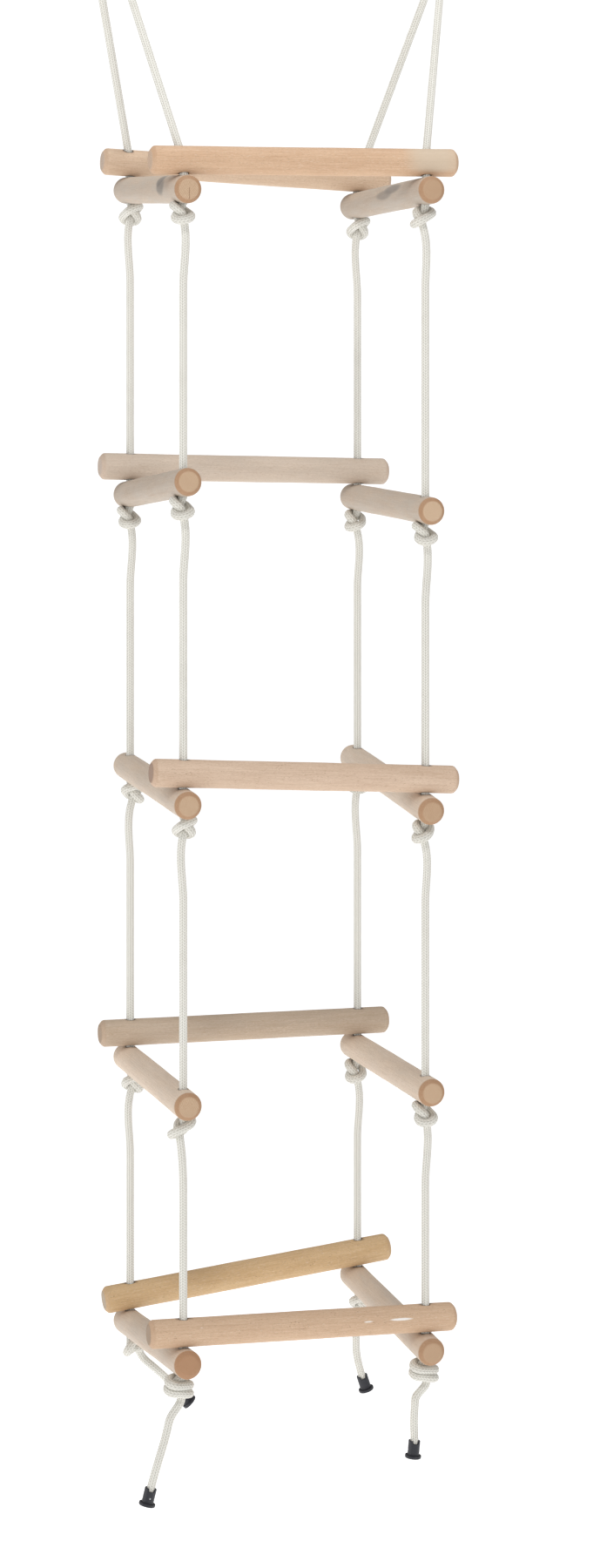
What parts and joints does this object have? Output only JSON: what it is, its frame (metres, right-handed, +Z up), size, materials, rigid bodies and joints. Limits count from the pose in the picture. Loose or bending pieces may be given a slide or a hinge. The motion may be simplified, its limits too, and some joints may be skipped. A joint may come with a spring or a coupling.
{
  "type": "climbing rope ladder",
  "caption": "Four-sided hanging rope ladder: beech dowel rungs on stopper knots in braided ropes, with capped free ends below and steel hanging rings above.",
  "frame": {"origin": "midway between the two places inside the steel rings where the hooks that hold the ladder bear", "axes": "+Z up, +X to the right along the front and rear rungs, -Y to the front, so the side rungs lie along Y"},
  "size_m": [0.556, 0.3428, 2.0625],
  "materials": {
    "cross_wood": "sanded, unvarnished beech dowel, warm tan with short dark flecks",
    "side_wood": "sanded, unvarnished beech dowel, paler and greyer from handling",
    "rope": "off-white braided synthetic rope",
    "cap_plastic": "near-black moulded plastic, satin",
    "steel": "zinc-plated steel wire"
  },
  "bodies": {
    "hangers": {"left_ring": "steel", "right_ring": "steel"},
    "ropes": {"left_front_rope": "rope", "left_front_end_cap": "cap_plastic", "left_front_cap_pin": "steel", "right_front_rope": "rope", "right_front_end_cap": "cap_plastic", "right_front_cap_pin": "steel", "left_rear_rope": "rope", "left_rear_end_cap": "cap_plastic", "left_rear_cap_pin": "steel", "right_rear_rope": "rope", "right_rear_end_cap": "cap_plastic", "right_rear_cap_pin": "steel", "left_rung_1": "side_wood", "right_rung_1": "side_wood", "front_rung_1": "cross_wood", "rear_rung_1": "cross_wood"},
    "left_rung_2": {"left_rung_2": "side_wood"},
    "right_rung_2": {"right_rung_2": "side_wood"},
    "rear_rung_2": {"rear_rung_2": "cross_wood"},
    "left_rung_3": {"left_rung_3": "side_wood"},
    "right_rung_3": {"right_rung_3": "side_wood"},
    "front_rung_3": {"front_rung_3": "cross_wood"},
    "left_rung_4": {"left_rung_4": "side_wood"},
    "right_rung_4": {"right_rung_4": "side_wood"},
    "rear_rung_4": {"rear_rung_4": "cross_wood"},
    "left_rung_5": {"left_rung_5": "side_wood"},
    "right_rung_5": {"right_rung_5": "side_wood"},
    "front_rung_5": {"front_rung_5": "cross_wood"},
    "rear_rung_5": {"rear_rung_5": "cross_wood"}
  },
  "joints": [
    {"name": "swing", "type": "hinge", "parent": "hangers", "child": "ropes", "pos_m": [0, 0, -0.066], "axis": [1, 0, 0], "range_deg": [-40, 40]},
    {"name": "side_rungs_2_lift", "type": "slide", "parent": "ropes", "child": "left_rung_2", "axis": [0, 0, 1], "range_m": [0, 0.165]},
    {"name": "right_rung_2_lift", "type": "slide", "parent": "ropes", "child": "right_rung_2", "axis": [0, 0, 1], "range_m": [0, 0.165]},
    {"name": "rear_rung_2_lift", "type": "slide", "parent": "left_rung_2", "child": "rear_rung_2", "axis": [0, 0, 1], "range_m": [0, 0.12]},
    {"name": "side_rungs_3_lift", "type": "slide", "parent": "ropes", "child": "left_rung_3", "axis": [0, 0, 1], "range_m": [0, 0.145]},
    {"name": "right_rung_3_lift", "type": "slide", "parent": "ropes", "child": "right_rung_3", "axis": [0, 0, 1], "range_m": [0, 0.145]},
    {"name": "front_rung_3_lift", "type": "slide", "parent": "left_rung_3", "child": "front_rung_3", "axis": [0, 0, 1], "range_m": [0, 0.12]},
    {"name": "side_rungs_4_lift", "type": "slide", "parent": "ropes", "child": "left_rung_4", "axis": [0, 0, 1], "range_m": [0, 0.155]},
    {"name": "right_rung_4_lift", "type": "slide", "parent": "ropes", "child": "right_rung_4", "axis": [0, 0, 1], "range_m": [0, 0.155]},
    {"name": "rear_rung_4_lift", "type": "slide", "parent": "left_rung_4", "child": "rear_rung_4", "axis": [0, 0, 1], "range_m": [0, 0.12]},
    {"name": "side_rungs_5_lift", "type": "slide", "parent": "ropes", "child": "left_rung_5", "axis": [0, 0, 1], "range_m": [0, 0.115]},
    {"name": "right_rung_5_lift", "type": "slide", "parent": "ropes", "child": "right_rung_5", "axis": [0, 0, 1], "range_m": [0, 0.115]},
    {"name": "front_rung_5_lift", "type": "slide", "parent": "left_rung_5", "child": "front_rung_5", "axis": [0, 0, 1], "range_m": [0, 0.09]},
    {"name": "rear_rung_5_lift", "type": "slide", "parent": "left_rung_5", "child": "rear_rung_5", "axis": [0, 0, 1], "range_m": [0, 0.09]}
  ],
  "couplings": [
    {"joint": "right_rung_2_lift", "follows": "side_rungs_2_lift", "ratio": 1},
    {"joint": "right_rung_3_lift", "follows": "side_rungs_3_lift", "ratio": 1},
    {"joint": "right_rung_4_lift", "follows": "side_rungs_4_lift", "ratio": 1},
    {"joint": "right_rung_5_lift", "follows": "side_rungs_5_lift", "ratio": 1}
  ]
}
